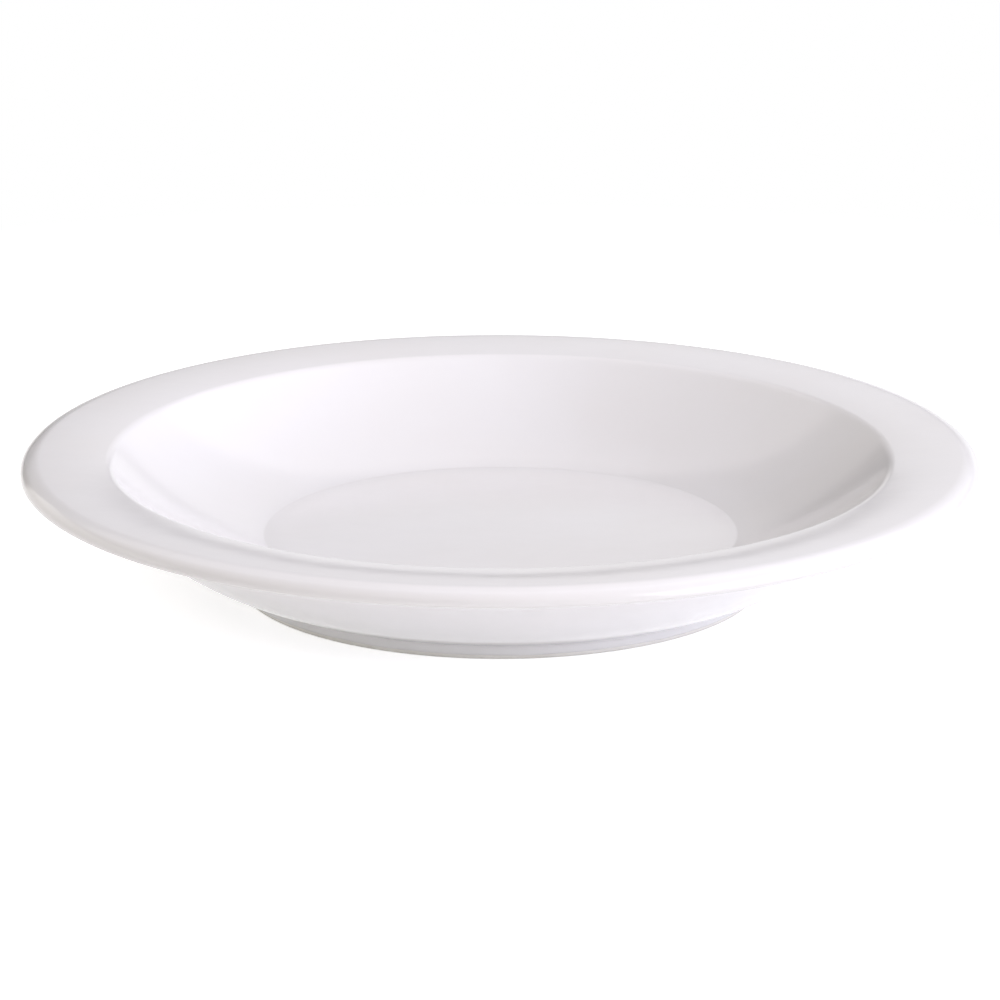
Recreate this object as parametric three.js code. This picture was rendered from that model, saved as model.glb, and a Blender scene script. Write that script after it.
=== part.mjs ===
// Rim soup bowl of glazed china: a flat-floored well with a hollow-curved wall, a broad low-crowned rim
// with a thick rounded edge, and a low foot ring. Millimetres, +Z up, origin on the axis at the table.
//
// The bowl is one turned form in three solids: the fired body, the glaze that runs over its face,
// edge and outside, and the glaze on the recessed base. The ground foot ring between them is bare.
import * as THREE from "three";

const degrees = THREE.MathUtils.degToRad;

// Overall sizes of the finished bowl
const RIM_DIAMETER = 230;
const HEIGHT = 32.5;

// Rim: its top falls in a low crown from the crest by the edge to the well, and its underside falls too
const RIM_WIDTH = 21.5; // from the edge to the corner where crown and well wall meet
const RIM_CROWN = 110; // radius of the crown, across the rim
const RIM_UNDER_RISE = degrees(6); // of the underside, outwards

// Edge: a wide soft roll on top and a smaller one below, which meet at the widest point
const EDGE_ROLL_WIDTH = 6.2; // also the way from the edge to the crest
const EDGE_ROLL_DROP = 2.6;
const EDGE_UNDER_WIDTH = 2.5;
const EDGE_UNDER_DROP = 1.8;

// Well
const FLOOR_DIAMETER = 114; // of the corner where floor and well wall meet
const WELL_WALL_RADIUS = 80; // of the hollow curve from that corner up to the rim
const SHOULDER_RADIUS = 4; // between rim and well wall
const FLOOR_FILLET = 3; // between well wall and floor

// Outside: the wall thins upwards
const FOOT_WALL = 10; // thickness of the wall at the floor's corner
const RIM_WALL = 7; // and at the rim's corner
const OUTER_WALL_RADIUS = 72; // of the curve between them
const UNDER_RIM_FILLET = 8; // between the underside of the rim and the outer wall
const BASE_THICKNESS = 6.5;

// Foot ring
const BASE_RECESS = 5.5; // from the table to the glazed base
const FOOT_OUTSET = 6.15; // of the foot's outer side beyond the corner of the floor above it
const FOOT_WIDTH = 5.4; // across the foot at the table, before its corners are rounded
const FOOT_DRAFT = degrees(8); // both sides of the foot widen upwards
const FOOT_CORNER = 0.8; // rounding of the two lower corners
const FOOT_FILLET = 1.2; // between the sides of the foot and the bowl

// Glaze
const GLAZE = 0.25; // thickness of both coats
const GLAZE_SETBACK = 0.3; // from the foot's rounded corners up to where the glaze stops

// Steps of the curves, and of the turn about the axis
const ROUND_STEPS = 3;
const EDGE_STEPS = 6;
const WALL_STEPS = 6;
const FOOT_STEPS = 2;
const AROUND = 64;

// A station is a point of the finished outline with the unit normal that points out of the bowl.
// Moving every station back along its normal gives the surface that lies evenly below it.
const station = (r, z, normalR, normalZ) => ({ r, z, normalR, normalZ });

const below = (depth) => (s) => new THREE.Vector2(s.r - depth * s.normalR, s.z - depth * s.normalZ);

// Stations on an ellipse between two of its angles, where 0 points away from the axis and a
// quarter turn points up. On a hollow curve the normals point at the centre.
function curve(centreR, centreZ, radiusR, radiusZ, from, to, steps, hollow = false) {
  const side = hollow ? -1 : 1;
  return Array.from({ length: steps + 1 }, (_, i) => {
    const angle = from + ((to - from) * i) / steps;
    const cos = Math.cos(angle);
    const sin = Math.sin(angle);
    const length = Math.hypot(cos / radiusR, sin / radiusZ);
    const normalR = (side * cos) / radiusR / length;
    const normalZ = (side * sin) / radiusZ / length;
    return station(centreR + radiusR * cos, centreZ + radiusZ * sin, normalR, normalZ);
  });
}

const arc = (centre, radius, from, to, steps, hollow) =>
  curve(centre.x, centre.y, radius, radius, from, to, steps, hollow);

// The angle at which one point sees another.
const towards = (a, b) => Math.atan2(b.y - a.y, b.x - a.x);

// The point at given distances from two others, to the left of the way from the first to the second.
function meeting(a, distanceA, b, distanceB) {
  const length = a.distanceTo(b);
  const along = (distanceA ** 2 - distanceB ** 2 + length ** 2) / (2 * length);
  const across = Math.sqrt(distanceA ** 2 - along ** 2);
  return new THREE.Vector2(along, across).rotateAround(new THREE.Vector2(), towards(a, b)).add(a);
}

// A point moved straight away from a centre.
const further = (point, centre, by) =>
  point.clone().sub(centre).setLength(point.distanceTo(centre) + by).add(centre);

// A straight line of the outline: a point on it and the direction of its outward normal.
const line = (r, z, angle) => ({ r, z, normalR: Math.cos(angle), normalZ: Math.sin(angle) });

// The line moved out of the bowl by a distance, or into it by a negative one.
const moved = (l, by) => ({ ...l, r: l.r + by * l.normalR, z: l.z + by * l.normalZ });

// The angle from a round that touches a line on its outer side to the place where it does.
const inwards = (l) => Math.atan2(-l.normalZ, -l.normalR);

// Where two lines cross.
function crossing(a, b) {
  const distanceA = a.r * a.normalR + a.z * a.normalZ;
  const distanceB = b.r * b.normalR + b.z * b.normalZ;
  const turn = a.normalR * b.normalZ - a.normalZ * b.normalR;
  const r = (distanceA * b.normalZ - distanceB * a.normalZ) / turn;
  const z = (a.normalR * distanceB - b.normalR * distanceA) / turn;
  return new THREE.Vector2(r, z);
}

// The point on a line at a given distance from a centre. Of the two, it is the later one in the
// direction in which the outline runs, or the earlier one.
function reached(l, centre, distance, later = true) {
  const across = (l.r - centre.x) * l.normalR + (l.z - centre.y) * l.normalZ;
  const along = Math.sqrt(distance ** 2 - across ** 2) * (later ? 1 : -1);
  const r = centre.x + across * l.normalR + along * l.normalZ;
  const z = centre.y + across * l.normalZ - along * l.normalR;
  return new THREE.Vector2(r, z);
}

const QUARTER = Math.PI / 2;

// Edge. The end of its lower ellipse leans with the underside of the rim, which runs on without a kink.
const rimRadius = RIM_DIAMETER / 2;
const edgeHeight = HEIGHT - EDGE_ROLL_DROP;
const underLean = Math.atan((EDGE_UNDER_WIDTH / EDGE_UNDER_DROP) * Math.tan(RIM_UNDER_RISE));

const edgeCurve = (width, drop, from, to, steps) =>
  curve(rimRadius - width, edgeHeight, width, drop, from, to, steps);
const edgeRoll = edgeCurve(EDGE_ROLL_WIDTH, EDGE_ROLL_DROP, QUARTER, 0, EDGE_STEPS);
const edgeUnder = edgeCurve(EDGE_UNDER_WIDTH, EDGE_UNDER_DROP, 0, underLean - QUARTER, ROUND_STEPS);

// Crown, well and outer wall. The two walls run between corners, of which the outer ones lie below
// the inner ones by the thickness of the wall.
const crownCentre = new THREE.Vector2(rimRadius - EDGE_ROLL_WIDTH, HEIGHT - RIM_CROWN);
const shoulderRadius = rimRadius - RIM_WIDTH;
const shoulderRise = Math.sqrt(RIM_CROWN ** 2 - (crownCentre.x - shoulderRadius) ** 2);
const shoulderCorner = new THREE.Vector2(shoulderRadius, crownCentre.y + shoulderRise);

const floorHeight = BASE_RECESS + BASE_THICKNESS;
const floorCorner = new THREE.Vector2(FLOOR_DIAMETER / 2, floorHeight);
const wellCentre = meeting(floorCorner, WELL_WALL_RADIUS, shoulderCorner, WELL_WALL_RADIUS);

const footCorner = further(floorCorner, wellCentre, FOOT_WALL);
const rimCorner = further(shoulderCorner, wellCentre, RIM_WALL);
const outerCentre = meeting(footCorner, OUTER_WALL_RADIUS, rimCorner, OUTER_WALL_RADIUS);

// Straight lines of the outline
const floorLine = line(0, floorHeight, QUARTER);
const rimUnder = line(edgeUnder.at(-1).r, edgeUnder.at(-1).z, RIM_UNDER_RISE - QUARTER);
const baseLine = line(0, BASE_RECESS, -QUARTER);
const tableLine = line(0, 0, -QUARTER);

// Sides of the foot: the bare body's, and the glazed ones that stand proud of them above the glaze line
const footRadius = floorCorner.x + FOOT_OUTSET;
const footOuterBare = line(footRadius, 0, -FOOT_DRAFT);
const footInnerBare = line(footRadius - FOOT_WIDTH, 0, Math.PI + FOOT_DRAFT);
const footOuter = moved(footOuterBare, GLAZE);
const footInner = moved(footInnerBare, GLAZE);

// Centres of the rounds that touch a curve and another curve or a line
const floorFilletCentre =
  reached(moved(floorLine, FLOOR_FILLET), wellCentre, WELL_WALL_RADIUS - FLOOR_FILLET);
const shoulderCentre =
  meeting(wellCentre, WELL_WALL_RADIUS + SHOULDER_RADIUS, crownCentre, RIM_CROWN - SHOULDER_RADIUS);
const underRimCentre =
  reached(moved(rimUnder, UNDER_RIM_FILLET), outerCentre, OUTER_WALL_RADIUS + UNDER_RIM_FILLET, false);
const footFilletCentre =
  reached(moved(footOuter, FOOT_FILLET), outerCentre, OUTER_WALL_RADIUS + FOOT_FILLET);

// Where the glaze stops on a side of the foot
function glazeStop(side) {
  const at = crossing(side, line(0, FOOT_CORNER + GLAZE_SETBACK, -QUARTER));
  return station(at.x, at.y, side.normalR, side.normalZ);
}

// Curves of the outline between the places where they touch each other
const floorFillet = arc(
  floorFilletCentre, FLOOR_FILLET, -QUARTER, towards(wellCentre, floorFilletCentre), ROUND_STEPS, true,
);
const wellWall = arc(
  wellCentre, WELL_WALL_RADIUS,
  towards(wellCentre, floorFilletCentre), towards(wellCentre, shoulderCentre), WALL_STEPS, true,
);
const shoulder = arc(
  shoulderCentre, SHOULDER_RADIUS,
  towards(shoulderCentre, wellCentre), towards(crownCentre, shoulderCentre), ROUND_STEPS,
);
const crown = arc(crownCentre, RIM_CROWN, towards(crownCentre, shoulderCentre), QUARTER, ROUND_STEPS);
const underRim = arc(
  underRimCentre, UNDER_RIM_FILLET, inwards(rimUnder), towards(underRimCentre, outerCentre), ROUND_STEPS, true,
);
const outerWall = arc(
  outerCentre, OUTER_WALL_RADIUS,
  towards(outerCentre, underRimCentre), towards(outerCentre, footFilletCentre), WALL_STEPS,
);
const footFillet = arc(
  footFilletCentre, FOOT_FILLET, towards(footFilletCentre, outerCentre), inwards(footOuter), FOOT_STEPS, true,
);

// The finished outline from the middle of the floor, over the edge, to the glaze line outside the foot.
// Where curves touch, the first station of the later one repeats the last of the earlier one.
const faceOutline = [
  station(0, floorHeight, 0, 1),
  ...floorFillet,
  ...wellWall.slice(1),
  ...shoulder.slice(1),
  ...crown.slice(1),
  ...edgeRoll.slice(1),
  ...edgeUnder.slice(1),
  ...underRim,
  ...outerWall.slice(1),
  ...footFillet.slice(1),
  glazeStop(footOuter),
];

// The finished outline from the glaze line inside the foot to the middle of the base
const baseFilletCentre = crossing(moved(footInner, FOOT_FILLET), moved(baseLine, FOOT_FILLET));
const baseOutline = [
  glazeStop(footInner),
  ...arc(baseFilletCentre, FOOT_FILLET, inwards(footInner), QUARTER, FOOT_STEPS, true),
  station(0, BASE_RECESS, 0, -1),
];

// The bare lower end of the foot, with a round at each corner of the flat that stands on the table
const cornerCentre = (side) => crossing(moved(side, -FOOT_CORNER), moved(tableLine, -FOOT_CORNER));
const bareFoot = [
  ...arc(cornerCentre(footOuterBare), FOOT_CORNER, -FOOT_DRAFT, -QUARTER, FOOT_STEPS),
  ...arc(cornerCentre(footInnerBare), FOOT_CORNER, -QUARTER, FOOT_DRAFT - Math.PI, FOOT_STEPS),
];

// Turns a profile about the axis. It is drawn from the top of the axis outwards and back below, so it
// is reversed to make the faces point out.
function turned(profile) {
  return new THREE.LatheGeometry(profile.toReversed(), AROUND).rotateX(QUARTER);
}

function piece(name, profile, finish) {
  const material = new THREE.MeshStandardMaterial({ metalness: 0, ...finish });
  const mesh = new THREE.Mesh(turned(profile), material);
  mesh.name = name;
  return mesh;
}

const finished = below(0);
const underGlaze = below(GLAZE);

const bowl = new THREE.Group();
bowl.add(
  piece(
    "body",
    [...faceOutline.map(underGlaze), ...bareFoot.map(finished), ...baseOutline.map(underGlaze)],
    { color: 0xe8e3d9, roughness: 0.7 },
  ),
  piece(
    "face_glaze",
    [...faceOutline.map(finished), ...faceOutline.map(underGlaze).toReversed()],
    { color: 0xf3f1f4, roughness: 0.12 },
  ),
  piece(
    "base_glaze",
    [...baseOutline.map(underGlaze).toReversed(), ...baseOutline.map(finished)],
    { color: 0xf1eff1, roughness: 0.15 },
  ),
);

export default bowl;
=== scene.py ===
"""Rim soup bowl of white glazed china, standing on a pale floor in soft studio light.

The bowl is one turned form in three pieces that share one outline: the fired china body, the glaze over
its face, edge and outside, and the glaze on its recessed base. The foot ring between the coats is bare.
Metres, +Z up, origin on the axis where the foot stands.
"""

import bpy
import numpy as np
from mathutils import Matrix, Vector


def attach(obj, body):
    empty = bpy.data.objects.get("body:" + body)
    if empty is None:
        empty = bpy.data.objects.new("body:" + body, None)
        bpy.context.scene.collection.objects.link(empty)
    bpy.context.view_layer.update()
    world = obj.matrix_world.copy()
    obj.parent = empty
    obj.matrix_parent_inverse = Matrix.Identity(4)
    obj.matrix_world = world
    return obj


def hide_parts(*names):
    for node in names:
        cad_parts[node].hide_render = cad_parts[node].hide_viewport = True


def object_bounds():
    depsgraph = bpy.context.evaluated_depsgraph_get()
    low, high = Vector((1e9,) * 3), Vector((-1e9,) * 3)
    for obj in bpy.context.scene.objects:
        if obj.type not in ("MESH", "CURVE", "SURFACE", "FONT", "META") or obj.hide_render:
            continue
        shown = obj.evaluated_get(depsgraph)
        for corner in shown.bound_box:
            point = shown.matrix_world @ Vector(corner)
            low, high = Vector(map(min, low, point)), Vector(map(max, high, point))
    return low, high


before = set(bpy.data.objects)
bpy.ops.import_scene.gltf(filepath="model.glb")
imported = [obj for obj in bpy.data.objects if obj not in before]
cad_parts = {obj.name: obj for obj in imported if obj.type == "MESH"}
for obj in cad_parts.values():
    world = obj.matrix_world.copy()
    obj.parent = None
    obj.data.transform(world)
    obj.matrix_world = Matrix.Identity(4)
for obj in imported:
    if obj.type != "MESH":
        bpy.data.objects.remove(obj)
cad_low, cad_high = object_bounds()

MM = 0.001
QUARTER = np.pi / 2

# Sizes of the finished bowl. Its diameter and height are the frame's.
RIM_RADIUS = cad_high.x
HEIGHT = cad_high.z
RIM_WIDTH = 21.5 * MM
RIM_CROWN = 110 * MM  # radius of the rim's low crown, in section
RIM_CREST = 6.2 * MM  # from the edge in to the crown's highest ring
RIM_UNDER_RISE = np.radians(6)
EDGE_ROLL = np.array([4.8, 3.2]) * MM  # half widths of the edge's upper round, across and up
EDGE_UNDER = np.array([2.4, 1.2]) * MM  # and of its lower round
FLOOR_RADIUS = 57 * MM
FLOOR_FILLET = 3 * MM
WELL_WALL_RADIUS = 80 * MM  # of its hollow curve, in section
SHOULDER_RADIUS = 4 * MM
FOOT_WALL = 10 * MM  # thickness of the wall where it leaves the floor
RIM_WALL = 7 * MM  # and where it meets the rim
OUTER_WALL_RADIUS = 72 * MM
UNDER_RIM_FILLET = 8 * MM
BASE_THICKNESS = 6.5 * MM
BASE_RECESS = 5.5 * MM
FOOT_OUTSET = 6.15 * MM
FOOT_WIDTH = 5.4 * MM
FOOT_DRAFT = np.radians(8)
FOOT_CORNER = 0.8 * MM
FOOT_FILLET = 1.2 * MM
GLAZE = 0.25 * MM
GLAZE_SETBACK = 0.3 * MM

# What firing does to the form
GLAZE_TAPER = 0.7 * MM  # over which the coat thins out to nothing at the glaze line
GLAZE_LINE_WAVE = 0.12 * MM
GLAZE_LINE_WAVES = (5, 11, 23)  # to the turn
POOL_REACH = 4 * MM  # radius of a bend in which most glaze has gathered, or drawn away; the same bends carry painted shade
POOL_BLUR = 2 * MM
KILN_SAG = 0.2 * MM  # of the rim, on two opposite sides
KILN_SAG_PHASE = 0.7  # radians

# Steps of the surfaces
AROUND = 240
STRAIGHT_STEP = 4 * MM
ARC_STEP = np.radians(3)
ARC_STRIDE = 3 * MM
COAT_END_STEPS = 13
POOL_BLUR_STEPS = 8


# Outline: lines, rounds and the chain that joins them

def direction(angle):
    """Unit vectors (r, z) at angles that count from straight out, towards up."""
    return np.stack([np.cos(angle), np.sin(angle)], axis=-1)


def line(point, angle):
    """The line through a point whose normal has this angle, as (distance from the origin, angle)."""
    return np.dot(point, direction(angle)), angle


def moved(a_line, by):
    """The line moved along its own normal."""
    return a_line[0] + by, a_line[1]


def crossing(a, b):
    """The point that lies on both lines: the solution of p.n = distance for the two normals."""
    return np.linalg.solve([direction(a[1]), direction(b[1])], [a[0], b[0]])


def steps(start, end, step):
    """Evenly spaced values from start to end, no further apart than the step."""
    return np.linspace(start, end, int(np.ceil(abs(end - start) / step)) + 1)


def arc(centre, radius, start, end):
    """Stations (r, z, normal r, normal z) at centre + radius * n, as n turns from start to end.

    A negative radius gives a hollow, whose normals point at its centre."""
    normals = direction(steps(start, end, min(ARC_STEP, ARC_STRIDE / abs(radius))))
    return np.hstack([centre + radius * normals, normals])


def towards(a, b):
    """The angle at which one point sees another."""
    return np.arctan2(*(b - a)[::-1])


def further(point, centre, by):
    """The point moved straight away from a centre."""
    return point + by * direction(towards(centre, point))


def meeting(a, a_distance, b, b_distance):
    """The point at given distances from two others, to the left of the way from the first to the second."""
    span = np.hypot(*(b - a))
    along = (a_distance**2 - b_distance**2 + span**2) / (2 * span)
    across = np.sqrt(a_distance**2 - along**2)
    way = towards(a, b)
    return a + along * direction(way) + across * direction(way + QUARTER)


def reached(a_line, centre, distance, later=True):
    """The later point on a line, along the outline, at a distance from a centre, or the earlier one."""
    across = a_line[0] - centre @ direction(a_line[1])
    along = np.sqrt(distance**2 - across**2) * (1 if later else -1)
    return centre + across * direction(a_line[1]) + along * direction(a_line[1] - QUARTER)


def round_between(a, b, radius):
    """The arc that touches two lines: its centre is where they cross, both moved in by the radius."""
    return arc(crossing(moved(a, -radius), moved(b, -radius)), radius, a[1], b[1])


def edge_curve(widths, start, end):
    """Stations on an ellipse that reaches the rim's widest ring, as the normal turns from start to end.

    The ellipse's point with normal n is its squared half widths times n, over the length of its half widths
    times n."""
    centre = np.array([RIM_RADIUS - widths[0], HEIGHT - EDGE_ROLL[1]])
    normals = direction(steps(start, end, ARC_STEP))
    reach = np.linalg.norm(widths * normals, axis=1, keepdims=True)
    return np.hstack([centre + widths**2 * normals / reach, normals])


def chain(*runs):
    """One row of stations through all runs, with evenly spaced ones on the straight stretches between."""
    rows = [runs[0]]
    for run in runs[1:]:
        last, first = rows[-1][-1], run[0]
        share = steps(0, 1, STRAIGHT_STEP / max(np.hypot(*(first - last)[:2]), STRAIGHT_STEP))
        rows += [last + share[1:-1, None] * (first - last), run]
    return np.vstack(rows)


def station(r, z, angle):
    """A run of one station, whose normal has this angle."""
    return np.array([[r, z, *direction(angle)]])


def inner_side(stations, depth):
    """The (r, z) that lie below the stations, each moved back along its normal."""
    return stations[:, :2] - depth * stations[:, 2:]


# Corners of the section, and centres of the curves and rounds between them

floor_height = BASE_RECESS + BASE_THICKNESS
crown_centre = np.array([RIM_RADIUS - RIM_CREST, HEIGHT - RIM_CROWN])
shoulder_corner = reached((RIM_RADIUS - RIM_WIDTH, 0), crown_centre, RIM_CROWN, later=False)
floor_corner = np.array([FLOOR_RADIUS, floor_height])
well_centre = meeting(floor_corner, WELL_WALL_RADIUS, shoulder_corner, WELL_WALL_RADIUS)
outer_centre = meeting(
    further(floor_corner, well_centre, FOOT_WALL), OUTER_WALL_RADIUS,
    further(shoulder_corner, well_centre, RIM_WALL), OUTER_WALL_RADIUS,
)
edge_roll = edge_curve(EDGE_ROLL, QUARTER, 0)
edge_under = edge_curve(EDGE_UNDER, 0, RIM_UNDER_RISE - QUARTER)

well_floor = (floor_height, QUARTER)
rim_under = line(edge_under[-1, :2], RIM_UNDER_RISE - QUARTER)
base = (-BASE_RECESS, -QUARTER)
table = (0, -QUARTER)
foot_radius = FLOOR_RADIUS + FOOT_OUTSET
foot_outside = line((foot_radius, 0), -FOOT_DRAFT)
foot_inside = line((foot_radius - FOOT_WIDTH, 0), FOOT_DRAFT - np.pi)
glazed_outside = moved(foot_outside, GLAZE)
glazed_inside = moved(foot_inside, GLAZE)

floor_fillet_centre = reached(
    moved(well_floor, FLOOR_FILLET), well_centre, WELL_WALL_RADIUS - FLOOR_FILLET)
shoulder_centre = meeting(
    well_centre, WELL_WALL_RADIUS + SHOULDER_RADIUS, crown_centre, RIM_CROWN - SHOULDER_RADIUS)
under_rim_centre = reached(
    moved(rim_under, UNDER_RIM_FILLET), outer_centre, OUTER_WALL_RADIUS + UNDER_RIM_FILLET, later=False)
foot_fillet_centre = reached(
    moved(glazed_outside, FOOT_FILLET), outer_centre, OUTER_WALL_RADIUS + FOOT_FILLET)

# Angles of the normal where two curves touch
floor_to_wall = towards(floor_fillet_centre, well_centre)
wall_to_shoulder = towards(shoulder_centre, well_centre)
shoulder_to_crown = towards(crown_centre, shoulder_centre)
under_rim_to_wall = towards(outer_centre, under_rim_centre)
wall_to_foot = towards(outer_centre, foot_fillet_centre)


# Rows of stations: the face over the edge down to the foot, the recessed base, and the bare foot.
# Where two curves touch, the later one leaves out its first station, which is the earlier one's last.

face_row = chain(
    station(0, floor_height, QUARTER),
    arc(floor_fillet_centre, -FLOOR_FILLET, QUARTER, floor_to_wall),
    arc(well_centre, -WELL_WALL_RADIUS, floor_to_wall, wall_to_shoulder)[1:],
    arc(shoulder_centre, SHOULDER_RADIUS, wall_to_shoulder, shoulder_to_crown)[1:],
    arc(crown_centre, RIM_CROWN, shoulder_to_crown, QUARTER)[1:],
    edge_roll,
    edge_under[1:],
    arc(under_rim_centre, -UNDER_RIM_FILLET, rim_under[1], under_rim_to_wall),
    arc(outer_centre, OUTER_WALL_RADIUS, under_rim_to_wall, wall_to_foot)[1:],
    arc(foot_fillet_centre, -FOOT_FILLET, wall_to_foot, glazed_outside[1])[1:],
)
base_row = chain(
    round_between(glazed_inside, base, -FOOT_FILLET),
    station(0, BASE_RECESS, -QUARTER),
)
bare_foot_row = chain(
    round_between(foot_outside, table, FOOT_CORNER),
    round_between(table, foot_inside, FOOT_CORNER),
)


# Surfaces: each piece is a closed row of (r, z) carried around the axis, from one pole to the other

around = np.arange(AROUND) * 2 * np.pi / AROUND


def glaze_line():
    """Height of the line where the coat ends on the foot, all around: a level plus a few small waves."""
    waves = sum(np.sin(order * around + order**2) for order in GLAZE_LINE_WAVES)
    return FOOT_CORNER + GLAZE_SETBACK + GLAZE_LINE_WAVE * waves / len(GLAZE_LINE_WAVES)


def coat_end(side, start):
    """The end of a coat on one side of the foot: (bare side, glazed side), each (around, along, r and z).

    The bare side runs straight from its start to the glaze line. The glazed side lies above it by the
    coat's thickness, which falls off as a quarter of an ellipse over the taper."""
    heights = glaze_line()
    stop_r = (side[0] - heights * np.sin(side[1])) / np.cos(side[1])
    stop = np.stack([stop_r, heights], axis=-1)[:, None]
    along = np.sin(np.linspace(0, QUARTER, COAT_END_STEPS + 1)[1:])[:, None]
    bare = start + along * (stop - start)
    left = np.linalg.norm(stop - bare, axis=-1, keepdims=True) / GLAZE_TAPER
    thickness = GLAZE * np.sqrt(1 - (1 - np.minimum(left, 1)) ** 2)
    return bare, bare + thickness * direction(side[1])


def all_around(row):
    """The same (r, z) row at every angle."""
    return np.broadcast_to(row, (AROUND, *row.shape))


def pooling_and_shade(row):
    """How glaze gathers along a row of stations, and where shade is painted, from -1 on sharp outer bends
    to 1 in sharp hollows.

    The rate at which the normal turns along the row, blurred, times a length, through tanh."""
    run = np.concatenate([[0], np.cumsum(np.hypot(*np.diff(row[:, :2], axis=0).T))])
    turn = np.gradient(np.unwrap(np.arctan2(row[:, 3], row[:, 2])), run)
    fine = np.arange(0, run[-1], POOL_BLUR / POOL_BLUR_STEPS)
    window = np.hanning(4 * POOL_BLUR_STEPS + 1)
    blurred = np.convolve(np.interp(fine, run, turn), window / window.sum(), mode="same")
    return np.tanh(np.interp(run, fine, blurred) * POOL_REACH)


def sagged(r, z):
    """The height after firing: the rim sinks on two opposite sides, by the square of the way out."""
    way_out = np.clip((r - foot_radius) / (RIM_RADIUS - foot_radius), 0, 1)
    lobes = (1 - np.cos(2 * around + KILN_SAG_PHASE)) / 2
    return z - KILN_SAG * way_out**2 * lobes[:, None]


def turned(name, profile, material, gathered_and_shaded=None):
    """A closed mesh from (around, along, r and z): x = r cos a, y = r sin a, z.

    The first and last stations lie on the axis, and each is one vertex. Quads join neighbours along and
    around the rest, and fans of triangles close the poles."""
    r = profile[:, 1:-1, 0]
    z = sagged(r, profile[:, 1:-1, 1])
    turns = around[:, None]
    grid = np.stack([r * np.cos(turns), r * np.sin(turns), z], axis=-1).reshape(-1, 3)
    poles = np.array([[0, 0, profile[0, 0, 1]], [0, 0, profile[0, -1, 1]]])
    along = r.shape[1]
    here = np.arange(AROUND)[:, None] * along + np.arange(along)
    beside = np.roll(here, -1, axis=0)
    quads = np.stack([here[:, :-1], here[:, 1:], beside[:, 1:], beside[:, :-1]], axis=-1).reshape(-1, 4)
    first_pole, last_pole = len(grid), len(grid) + 1
    first = np.stack([np.full(AROUND, first_pole), here[:, 0], beside[:, 0]], axis=-1)
    last = np.stack([here[:, -1], np.full(AROUND, last_pole), beside[:, -1]], axis=-1)
    mesh = bpy.data.meshes.new(name)
    mesh.from_pydata(np.vstack([grid, poles]), [], quads.tolist() + first.tolist() + last.tolist())
    mesh.shade_smooth()
    if gathered_and_shaded is not None:
        values = np.concatenate([np.tile(gathered_and_shaded[1:-1], AROUND), gathered_and_shaded[[0, -1]]])
        attribute = mesh.attributes.new("pooling_and_shade", "FLOAT", "POINT")
        attribute.data.foreach_set("value", values.astype(np.float32))
    mesh.materials.append(material)
    piece = bpy.data.objects.new(name, mesh)
    bpy.context.scene.collection.objects.link(piece)
    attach(piece, "root")
    return piece


def china_body(material):
    """The fired body: the face row less its glaze, the bare foot, and the base row less its glaze."""
    row = chain(
        np.hstack([inner_side(face_row, GLAZE), face_row[:, 2:]]),
        bare_foot_row,
        np.hstack([inner_side(base_row, GLAZE), base_row[:, 2:]]),
    )
    body = turned("china_body", all_around(row[:, :2]), material)
    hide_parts("body")


def face_coat(material):
    """The coat over face, edge and outside: out along the finished row, back along the body's."""
    under = inner_side(face_row, GLAZE)
    bare, glazed = coat_end(foot_outside, under[-1])
    profile = [all_around(face_row[:, :2]), glazed, bare[:, -2::-1], all_around(under[::-1])]
    pool_and_shade = pooling_and_shade(face_row)
    end = np.full(2 * glazed.shape[1] - 1, pool_and_shade[-1])
    gathered_and_shaded = np.concatenate([pool_and_shade, end, pool_and_shade[::-1]])
    coat = turned("face_coat", np.concatenate(profile, axis=1), material, gathered_and_shaded)
    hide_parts("face_glaze")


def base_coat(material):
    """The coat on the recessed base: out along the body's row, back along the finished one."""
    under = inner_side(base_row, GLAZE)
    bare, glazed = coat_end(foot_inside, under[0])
    profile = [all_around(under[::-1]), bare, glazed[:, -2::-1], all_around(base_row[:, :2])]
    pool_and_shade = pooling_and_shade(base_row)
    end = np.full(2 * glazed.shape[1] - 1, pool_and_shade[0])
    gathered_and_shaded = np.concatenate([pool_and_shade[::-1], end, pool_and_shade])
    coat = turned("base_coat", np.concatenate(profile, axis=1), material, gathered_and_shaded)
    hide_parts("base_glaze")


# Glaze. Cells count to the metre, shares of specks are of their cells, and tints multiply the white.
FACE_WHITE = (0.83, 0.82, 0.828)
FACE_SPECKS = 0.004
BASE_WHITE = (0.815, 0.805, 0.81)
BASE_SPECKS = 0.12
GLAZE_ROUGHNESS = (0.12, 0.15)
GLAZE_INDEX = 1.52  # of refraction
GLAZE_DRIFT_CELLS = 28.0
GLAZE_DRIFT_TINT = (0.985, 0.978, 0.968)
# Painted shade in hollows, partly real: darker where glaze gathers and where shade falls in the fillets.
POOLED_SHADE_TINT = (0.945, 0.94, 0.94)
POOLED_SHADE_RANGE = (0.1, 1.0)  # of the bend measure over which the darker tint of gathered glaze and painted shade comes in
# Painted shade on edges, partly real: darker where the glaze thins and where the edge's roll is in shade.
THIN_EDGE_SHADE_TINT = (0.88, 0.867, 0.85)
THIN_EDGE_SHADE_RANGE = (-0.75, -0.95)
GLAZE_SPECK_CELLS = 110.0
GLAZE_SPECK_COLOUR = (0.42, 0.36, 0.29)
GLAZE_SPECK_DEPTH = 0.6
RIPPLE_CELLS = 45.0
RIPPLE_HEIGHT = 0.12 * MM
PEEL_CELLS = 380.0
PEEL_HEIGHT = 0.012 * MM

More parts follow.
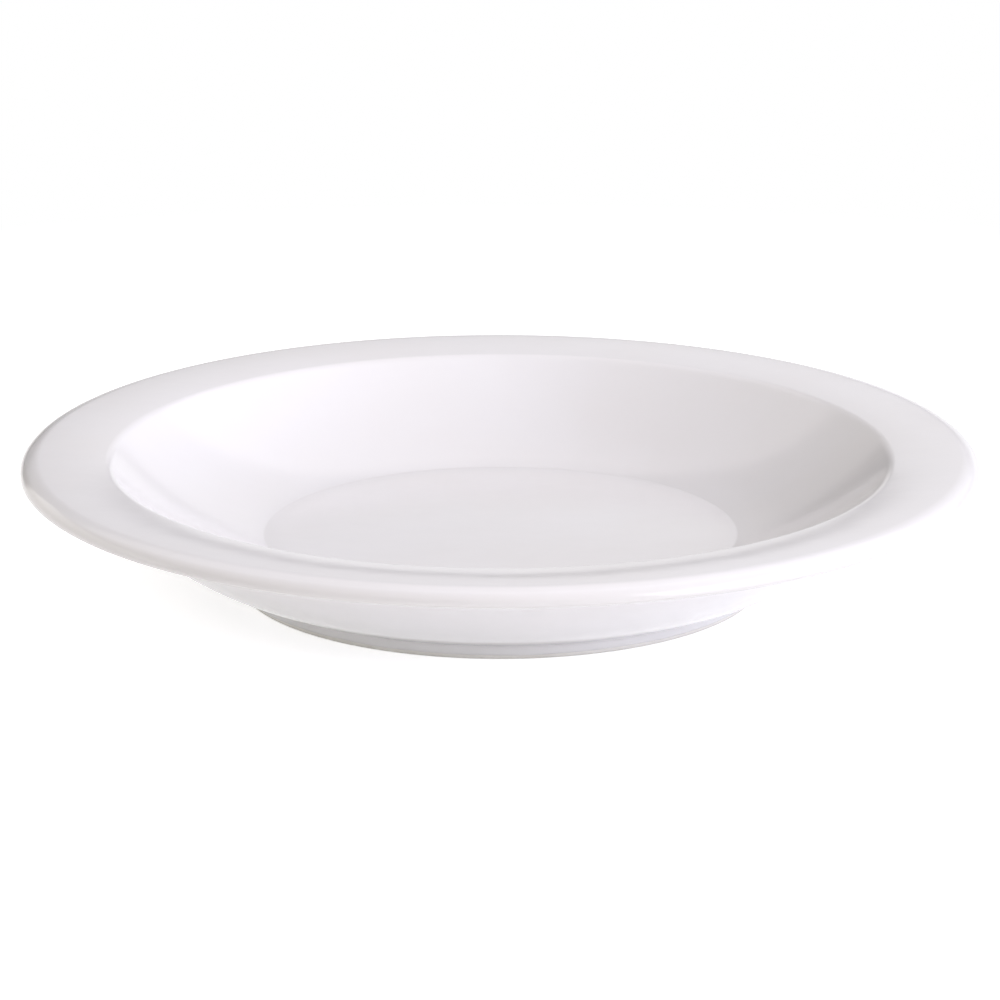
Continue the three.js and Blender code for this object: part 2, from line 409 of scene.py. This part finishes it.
# Bare china
BARE_LIGHT = (0.8, 0.782, 0.752)
BARE_DARK = (0.75, 0.728, 0.69)
BARE_ROUGHNESS = (0.62, 0.8)
BARE_DRIFT_CELLS = 60.0
BARE_SPECKS = 0.12
BARE_SPECK_CELLS = 420.0
BARE_SPECK_COLOUR = (0.30, 0.25, 0.20)
BARE_SPECK_DEPTH = 0.7
SCUFF_REACH = 0.25 * MM  # up from the table
SCUFF_CELLS = 160.0
SCUFF_DETAIL = 4.0
SCUFF_NOISE = (0.45, 0.65)  # over which a scuff comes in
SCUFF_COLOUR = (0.45, 0.43, 0.41)
SCUFF_DEPTH = 0.5
GROUND_RINGS = 4000.0  # to the metre
GROUND_HEIGHT = 0.02 * MM
GRAIN_CELLS = 2600.0
GRAIN_DETAIL = 3.0
GRAIN_HEIGHT = 0.06 * MM

# Effects that the materials share
SPECK_RADIUS = (0.03, 0.09)  # of a cell, smallest and largest
FINE_DRIFT = 6.0  # times the cells of the slow drift
DRIFT_NOISE = (0.3, 0.7)  # the range that noise mostly keeps to

# Sockets of a mix node for its two colours, and for the mixed one
MIX_FIRST = 6
MIX_SECOND = 7
MIX_RESULT = 2


def colour(red, green, blue):
    """An opaque colour."""
    return (red, green, blue, 1.0)


def tinted(white, tint):
    """A white times a tint, as an opaque colour."""
    return colour(*np.multiply(white, tint))


def node(tree, kind, inputs=None, **settings):
    """A new node with its settings and the values of its inputs. An input that is a socket is linked."""
    made = tree.nodes.new(kind)
    for name, value in settings.items():
        setattr(made, name, value)
    for key, value in (inputs or {}).items():
        if isinstance(value, bpy.types.NodeSocket):
            tree.links.new(value, made.inputs[key])
        else:
            made.inputs[key].default_value = value
    return made


def maths(tree, operation, first, second, clamp=False):
    """Two values put together by an operation, and held from 0 to 1 if clamped."""
    made = node(tree, "ShaderNodeMath", {0: first, 1: second}, operation=operation, use_clamp=clamp)
    return made.outputs[0]


def length(tree, vector):
    """The length of a vector."""
    return node(tree, "ShaderNodeVectorMath", {0: vector}, operation="LENGTH").outputs["Value"]


def spread(tree, value, low, high, new_low=0.0, new_high=1.0):
    """The value's stretch from low to high laid out over new_low to new_high, and held beyond it."""
    made = node(tree, "ShaderNodeMapRange", {0: value, 1: low, 2: high, 3: new_low, 4: new_high})
    return made.outputs[0]


def blend(tree, share, first, second):
    """Two colours mixed by a share."""
    inputs = {"Factor": share, MIX_FIRST: first, MIX_SECOND: second}
    return node(tree, "ShaderNodeMix", inputs, data_type="RGBA").outputs[MIX_RESULT]


def marked(tree, tone, mask, depth, mark):
    """A tone with marks of another colour where the mask is, at most as deep as given."""
    return blend(tree, maths(tree, "MULTIPLY", mask, depth), tone, colour(*mark))


def noise(tree, place, cells, detail=2.0):
    """Noise of so many cells to the metre."""
    inputs = {"Vector": place, "Scale": cells, "Detail": detail}
    return node(tree, "ShaderNodeTexNoise", inputs).outputs["Fac"]


def bump(tree, height, distance, below=None):
    """The normal of a surface that is raised by up to a distance, on top of the bumps below it."""
    inputs = {"Height": height, "Distance": distance}
    if below is not None:
        inputs["Normal"] = below
    return node(tree, "ShaderNodeBump", inputs).outputs[0]


def effect(name, inputs, outputs):
    """An empty shader node group: (tree, its inputs by name, its output node)."""
    tree = bpy.data.node_groups.new(name, "ShaderNodeTree")
    for socket, kind in inputs.items():
        tree.interface.new_socket(socket, in_out="INPUT", socket_type=kind)
    for socket, kind in outputs.items():
        tree.interface.new_socket(socket, in_out="OUTPUT", socket_type=kind)
    return tree, tree.nodes.new("NodeGroupInput").outputs, tree.nodes.new("NodeGroupOutput")


def placed(tree, group, **inputs):
    """The outputs of a group placed in a material, with the material's own values."""
    return node(tree, "ShaderNodeGroup", inputs, node_tree=group).outputs


def specks_effect():
    """Small fired-in specks: a mask that is 1 in the middle of a few of the cells, whose sizes vary."""
    tree, given, out = effect(
        "fired_specks",
        {"Place": "NodeSocketVector", "Cells": "NodeSocketFloat", "Share": "NodeSocketFloat"},
        {"Mask": "NodeSocketFloat"},
    )
    cells = node(tree, "ShaderNodeTexVoronoi", {"Vector": given["Place"], "Scale": given["Cells"]}).outputs
    chance = node(tree, "ShaderNodeSeparateColor", {0: cells["Color"]}).outputs
    chosen = maths(tree, "LESS_THAN", chance[0], given["Share"])
    radius = spread(tree, chance[1], 0, 1, *SPECK_RADIUS)
    dot = maths(tree, "SUBTRACT", 1.0, maths(tree, "DIVIDE", cells["Distance"], radius), clamp=True)
    tree.links.new(maths(tree, "MULTIPLY", chosen, dot), out.inputs["Mask"])
    return tree


def mottle_effect():
    """Slow drift of tone and gloss over the fired surface: two sizes of noise, spread to 0 to 1."""
    tree, given, out = effect(
        "firing_mottle",
        {"Place": "NodeSocketVector", "Cells": "NodeSocketFloat"},
        {"Tone": "NodeSocketFloat", "Fine": "NodeSocketFloat"},
    )
    finer = maths(tree, "MULTIPLY", given["Cells"], FINE_DRIFT)
    for cells, drift in ((given["Cells"], "Tone"), (finer, "Fine")):
        tree.links.new(spread(tree, noise(tree, given["Place"], cells), *DRIFT_NOISE), out.inputs[drift])
    return tree


def new_material(name):
    """A material to be finished: (material, tree, Principled shader, Object coordinates)."""
    material = bpy.data.materials.new(name)
    material.use_nodes = True
    tree = material.node_tree
    place = node(tree, "ShaderNodeTexCoord").outputs["Object"]
    return material, tree, tree.nodes["Principled BSDF"], place


def glaze_material(name, white, speck_share, mottle, specks):
    """Clear glossy glaze over white china, with slow ripples and a fine peel.

    It is darker in hollows, partly where it pools and partly as painted shade, and darker over the edge,
    partly where it thins and partly as painted shade."""
    material, tree, shader, place = new_material(name)
    drift = placed(tree, mottle, Place=place, Cells=GLAZE_DRIFT_CELLS)
    pool_and_shade = node(tree, "ShaderNodeAttribute", attribute_name="pooling_and_shade").outputs["Fac"]
    tone = blend(tree, drift["Tone"], colour(*white), tinted(white, GLAZE_DRIFT_TINT))
    # Painted shade in hollows, partly glaze that gathers there: darker where the row bends into a hollow.
    tone = blend(tree, spread(tree, pool_and_shade, *POOLED_SHADE_RANGE), tone, tinted(white, POOLED_SHADE_TINT))
    # Painted shade on edges, partly thin glaze: darker where the row bends sharply outward.
    tone = blend(tree, spread(tree, pool_and_shade, *THIN_EDGE_SHADE_RANGE), tone, tinted(white, THIN_EDGE_SHADE_TINT))
    dots = placed(tree, specks, Place=place, Cells=GLAZE_SPECK_CELLS, Share=speck_share)["Mask"]
    tone = marked(tree, tone, dots, GLAZE_SPECK_DEPTH, GLAZE_SPECK_COLOUR)
    ripple = bump(tree, noise(tree, place, RIPPLE_CELLS), RIPPLE_HEIGHT)
    peel = bump(tree, noise(tree, place, PEEL_CELLS), PEEL_HEIGHT, ripple)
    tree.links.new(tone, shader.inputs["Base Color"])
    tree.links.new(spread(tree, drift["Fine"], 0, 1, *GLAZE_ROUGHNESS), shader.inputs["Roughness"])
    tree.links.new(peel, shader.inputs["Normal"])
    shader.inputs["IOR"].default_value = GLAZE_INDEX
    return material


def bare_china_material(mottle, specks):
    """Fired china without glaze: matt, slightly warm and finely grained.

    Where it stands, it is ground in rings about the axis and scuffed."""
    material, tree, shader, place = new_material("bare_china")
    drift = placed(tree, mottle, Place=place, Cells=BARE_DRIFT_CELLS)
    tone = blend(tree, drift["Tone"], colour(*BARE_LIGHT), colour(*BARE_DARK))
    dots = placed(tree, specks, Place=place, Cells=BARE_SPECK_CELLS, Share=BARE_SPECKS)["Mask"]
    tone = marked(tree, tone, dots, BARE_SPECK_DEPTH, BARE_SPECK_COLOUR)
    parts = node(tree, "ShaderNodeSeparateXYZ", {0: place}).outputs
    stands = spread(tree, parts["Z"], 0.0, SCUFF_REACH, 1.0, 0.0)
    patches = spread(tree, noise(tree, place, SCUFF_CELLS, SCUFF_DETAIL), *SCUFF_NOISE)
    tone = marked(tree, tone, maths(tree, "MULTIPLY", stands, patches), SCUFF_DEPTH, SCUFF_COLOUR)
    level = node(tree, "ShaderNodeCombineXYZ", {"X": parts["X"], "Y": parts["Y"]}).outputs[0]
    ring = {"W": length(tree, level), "Scale": GROUND_RINGS}
    rings = node(tree, "ShaderNodeTexNoise", ring, noise_dimensions="1D").outputs["Fac"]
    ground = bump(tree, rings, GROUND_HEIGHT)
    grain = bump(tree, noise(tree, place, GRAIN_CELLS, GRAIN_DETAIL), GRAIN_HEIGHT, ground)
    tree.links.new(tone, shader.inputs["Base Color"])
    tree.links.new(spread(tree, drift["Fine"], 0, 1, *BARE_ROUGHNESS), shader.inputs["Roughness"])
    tree.links.new(grain, shader.inputs["Normal"])
    return material


# Stage: floor, world, lamps and camera

WHITE = colour(1, 1, 1)
FLOOR_SIZE = 6.0
FLOOR_WHITE = 0.94
FLOOR_LIFT = 0.6  # glow of the floor near the bowl, where it is seen
FLOOR_SHADOW_REACH = 0.2  # from the axis, out to which the floor shows the bowl's shadow
AMBIENT = 0.1

# The studio that the glaze mirrors: a low white backdrop, white lights above it and a grey room between.
# A pair is a range, of elevations or of the way's X, over which one begins or ends, or it is the shades
# on the left and on the right.
BACKDROP_TOP = np.radians((8.5, 10))
BACKDROP_LEFT = (-0.2, -0.05)
LIGHTS_BOTTOM = np.radians((11, 14))
LIGHTS_SIDES = (-0.2, 0.03)
LIGHTS_SHADES = (0.45, 1.0)
ROOM_SIDES = (0.0, 0.2)
ROOM_SHADES = (0.15, 0.6)

CAMERA_ELEVATION = np.radians(17.08)
CAMERA_DISTANCE = 1.282
CAMERA_LENS = 190.9
CAMERA_AIM = Vector((-0.0001, 0.0, 0.0199))


def mirrored(tree):
    """1 for what shows in a reflection or through glass."""
    rays = node(tree, "ShaderNodeLightPath").outputs
    return maths(tree, "MAXIMUM", rays["Is Glossy Ray"], rays["Is Transmission Ray"])


def seen(tree):
    """1 for what shows straight, in a reflection or through glass, and 0 for light that falls on things."""
    rays = node(tree, "ShaderNodeLightPath").outputs
    return maths(tree, "MAXIMUM", rays["Is Camera Ray"], mirrored(tree))


def floor_material():
    """Plain white. Where it is seen, it shows the bowl's shadow near by and is pure white further out."""
    material, tree, shader, place = new_material("pale_floor")
    tree.nodes.remove(shader)
    matt = node(tree, "ShaderNodeBsdfDiffuse", {"Color": colour(FLOOR_WHITE, FLOOR_WHITE, FLOOR_WHITE)})
    lift = node(tree, "ShaderNodeEmission", {"Strength": FLOOR_LIFT})
    near = node(tree, "ShaderNodeAddShader", {0: matt.outputs[0], 1: lift.outputs[0]})
    far = node(tree, "ShaderNodeEmission", {"Strength": 1.0})
    away = spread(tree, length(tree, place), FLOOR_SHADOW_REACH, 2 * FLOOR_SHADOW_REACH)
    shown = node(tree, "ShaderNodeMixShader", {0: away, 1: near.outputs[0], 2: far.outputs[0]})
    both = node(tree, "ShaderNodeMixShader", {0: seen(tree), 1: matt.outputs[0], 2: shown.outputs[0]})
    tree.links.new(both.outputs[0], tree.nodes["Material Output"].inputs["Surface"])
    return material


def pale_floor():
    """A square at the level where the foot stands."""
    half = FLOOR_SIZE / 2
    mesh = bpy.data.meshes.new("floor")
    corners = [(-half, -half, 0), (half, -half, 0), (half, half, 0), (-half, half, 0)]
    mesh.from_pydata(corners, [], [(0, 1, 2, 3)])
    mesh.materials.append(floor_material())
    floor = bpy.data.objects.new("floor", mesh)
    bpy.context.scene.collection.objects.link(floor)


def studio_world():
    """White where it is seen straight, the studio in reflections, and a soft light on everything."""
    world = bpy.data.worlds.new("studio")
    world.use_nodes = True
    bpy.context.scene.world = world
    tree = world.node_tree
    tree.nodes.remove(tree.nodes["Background"])
    way = node(tree, "ShaderNodeTexCoord").outputs["Generated"]
    parts = node(tree, "ShaderNodeSeparateXYZ", {0: way}).outputs
    low = spread(tree, parts["Z"], *np.sin(BACKDROP_TOP), 1.0, 0.0)
    backdrop = maths(tree, "MULTIPLY", low, spread(tree, parts["X"], *BACKDROP_LEFT))
    high = spread(tree, parts["Z"], *np.sin(LIGHTS_BOTTOM))
    lights = maths(tree, "MULTIPLY", high, spread(tree, parts["X"], *LIGHTS_SIDES, *LIGHTS_SHADES))
    room = spread(tree, parts["X"], *ROOM_SIDES, *ROOM_SHADES)
    studio = maths(tree, "MAXIMUM", maths(tree, "MAXIMUM", backdrop, lights), room)
    level = maths(tree, "MAXIMUM", studio, maths(tree, "SUBTRACT", 1.0, mirrored(tree)))
    shown = node(tree, "ShaderNodeBackground", {"Color": WHITE, "Strength": level})
    light = node(tree, "ShaderNodeBackground", {"Color": WHITE, "Strength": AMBIENT})
    both = node(tree, "ShaderNodeMixShader", {0: seen(tree), 1: light.outputs[0], 2: shown.outputs[0]})
    tree.links.new(both.outputs[0], tree.nodes["World Output"].inputs["Surface"])


def softbox(name, azimuth, elevation, distance, width, height, power, tint, in_reflections=True):
    """A soft lamp aimed at the bowl. Azimuth 0 is the camera's side and 90 the right, in degrees."""
    turn, rise = np.radians((azimuth, elevation))
    back = Vector((np.sin(turn) * np.cos(rise), -np.cos(turn) * np.cos(rise), np.sin(rise)))
    lamp = bpy.data.lights.new(name, "AREA")
    lamp.shape = "RECTANGLE"
    lamp.size = width
    lamp.size_y = height
    lamp.energy = power
    lamp.color = tint
    holder = bpy.data.objects.new(name, lamp)
    holder.location = back * distance
    holder.rotation_mode = "QUATERNION"
    holder.rotation_quaternion = back.to_track_quat("Z", "Y")
    holder.visible_camera = False
    holder.visible_glossy = in_reflections
    bpy.context.scene.collection.objects.link(holder)


def studio_lamps():
    """A broad key from the right, a wide lamp overhead, and two weak fills from the left."""
    softbox("key_light", azimuth=70, elevation=13, distance=2.0, width=2.5, height=2.5,
            power=75, tint=(0.9, 0.9, 1.0))
    softbox("top_light", azimuth=0, elevation=90, distance=1.3, width=3.2, height=3.2,
            power=22.5, tint=(1.0, 0.945, 0.95))
    softbox("low_fill", azimuth=-25, elevation=5, distance=1.0, width=1.6, height=0.2,
            power=3.2, tint=(1.0, 0.98, 0.94), in_reflections=False)
    softbox("left_fill", azimuth=-112, elevation=10, distance=1.1, width=1.4, height=0.8,
            power=3.8, tint=(1.0, 0.98, 0.93))


def photo_camera():
    """A long lens on the -Y side, raised by its elevation and aimed at the middle of the bowl."""
    camera = bpy.data.objects.new("camera", bpy.data.cameras.new("camera"))
    camera.data.lens = CAMERA_LENS
    away = Vector((0, -np.cos(CAMERA_ELEVATION), np.sin(CAMERA_ELEVATION)))
    camera.location = away * CAMERA_DISTANCE
    camera.rotation_mode = "QUATERNION"
    camera.rotation_quaternion = (camera.location - CAMERA_AIM).to_track_quat("Z", "Y")
    bpy.context.scene.collection.objects.link(camera)
    bpy.context.scene.camera = camera


def build():
    """The bowl's three pieces, then the stage around them."""
    mottle = mottle_effect()
    specks = specks_effect()
    china_body(bare_china_material(mottle, specks))
    face_coat(glaze_material("face_glaze", FACE_WHITE, FACE_SPECKS, mottle, specks))
    base_coat(glaze_material("base_glaze", BASE_WHITE, BASE_SPECKS, mottle, specks))
    pale_floor()
    studio_world()
    studio_lamps()
    photo_camera()
    bpy.context.scene.view_settings.view_transform = "Standard"


build()
